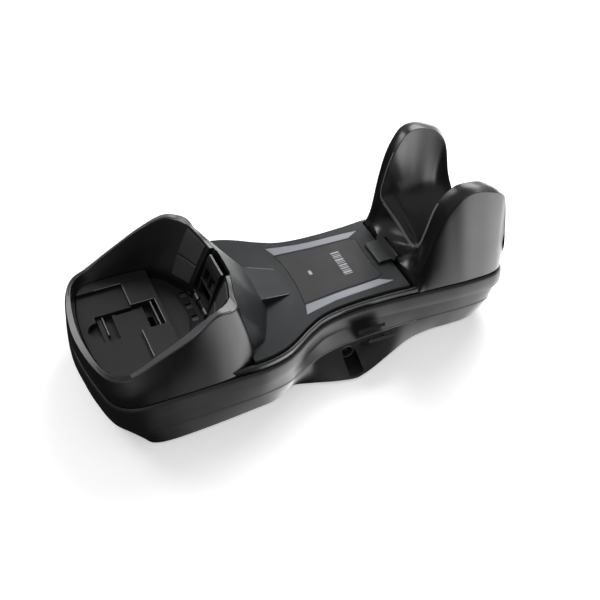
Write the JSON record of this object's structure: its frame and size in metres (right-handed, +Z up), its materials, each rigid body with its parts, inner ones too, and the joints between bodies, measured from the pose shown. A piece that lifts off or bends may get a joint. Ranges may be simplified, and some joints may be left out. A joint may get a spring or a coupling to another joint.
{
  "type": "scanner charging cradle",
  "caption": "Long low charging cradle for a cordless hand-held barcode scanner: a deep rounded cup at one end, a narrow waist, and a two-winged rest for the handle.",
  "frame": {"origin": "on the standing surface, under the middle of the bounding box", "axes": "+X along the length from the cup to the saddle, +Y across, +Z up"},
  "size_m": [0.2468, 0.1088, 0.0949],
  "materials": {
    "lower_shell": "moulded, fine grain",
    "upper_shell": "satin gloss, moulded",
    "cover_plastic": "fine spark-eroded texture",
    "floor_plastic": "fine spark-eroded texture",
    "label": "printed film",
    "diffuser": "translucent light guide",
    "tab_plastic": "fine texture",
    "steel": "bright",
    "spring_steel": "drawn wire",
    "contact_metal": "nickel plated",
    "latch_plastic": "light grey bar",
    "black_plastic": "moulded",
    "board": "solder mask",
    "shield": "stamped",
    "can": "sleeved",
    "led": "clear epoxy",
    "ribbon": "flat cable",
    "header": "nylon",
    "antenna_metal": "etched",
    "rubber": "soft"
  },
  "bodies": {
    "housing": {"lower_body": "lower_shell", "upper_body": "upper_shell", "top_cover": "cover_plastic", "cup_floor": "floor_plastic", "label_panel": "label", "light_bar_left": "diffuser", "light_bar_right": "diffuser", "latch_pin": "steel", "latch_spring": "spring_steel", "contact_block": "black_plastic", "contact_spring_1": "spring_steel", "contact_spring_2": "spring_steel", "contact_spring_3": "spring_steel", "contact_spring_4": "spring_steel", "contact_board": "board", "main_board": "board", "radio_module": "shield", "processor": "black_plastic", "capacitors": "can", "indicator_leds": "led", "power_jack": "black_plastic", "data_jack": "black_plastic", "ribbon_cable": "ribbon", "ribbon_headers": "header", "antenna": "antenna_metal", "port_cover": "black_plastic", "port_cover_screws": "steel", "case_screws": "steel", "board_screws": "steel", "contact_screws": "steel", "rubber_feet": "rubber"},
    "contact_1": {"contact_pad_1": "contact_metal"},
    "contact_2": {"contact_pad_2": "contact_metal"},
    "contact_3": {"contact_pad_3": "contact_metal"},
    "contact_4": {"contact_pad_4": "contact_metal"},
    "latch": {"latch_lever": "latch_plastic"},
    "lock": {"lock_tab": "tab_plastic", "tab_retainer": "steel"},
    "floor_catch": {"floor_slider": "floor_plastic"}
  },
  "joints": [
    {"name": "contact_1_press", "type": "slide", "parent": "housing", "child": "contact_1", "axis": [0, 0, 1], "range_m": [-0.0012, 0], "stiffness_N_per_m": 300, "springref_m": 0.001, "deforming": ["contact_spring_1"]},
    {"name": "contact_2_press", "type": "slide", "parent": "housing", "child": "contact_2", "axis": [0, 0, 1], "range_m": [-0.0012, 0], "stiffness_N_per_m": 300, "springref_m": 0.001, "deforming": ["contact_spring_2"]},
    {"name": "contact_3_press", "type": "slide", "parent": "housing", "child": "contact_3", "axis": [0, 0, 1], "range_m": [-0.0012, 0], "stiffness_N_per_m": 300, "springref_m": 0.001, "deforming": ["contact_spring_3"]},
    {"name": "contact_4_press", "type": "slide", "parent": "housing", "child": "contact_4", "axis": [0, 0, 1], "range_m": [-0.0012, 0], "stiffness_N_per_m": 300, "springref_m": 0.001, "deforming": ["contact_spring_4"]},
    {"name": "latch_swing", "type": "hinge", "parent": "housing", "child": "latch", "pos_m": [-0.0502, 0, 0.036], "axis": [0, 1, 0], "range_deg": [0, 6], "stiffness_Nm_per_rad": 0.5, "springref_deg": -6.88},
    {"name": "lock_tab_slide", "type": "slide", "parent": "housing", "child": "lock", "axis": [1, 0, 0], "range_m": [0, 0.003]},
    {"name": "floor_catch_slide", "type": "slide", "parent": "housing", "child": "floor_catch", "axis": [-1, 0, 0], "range_m": [0, 0.003]}
  ]
}
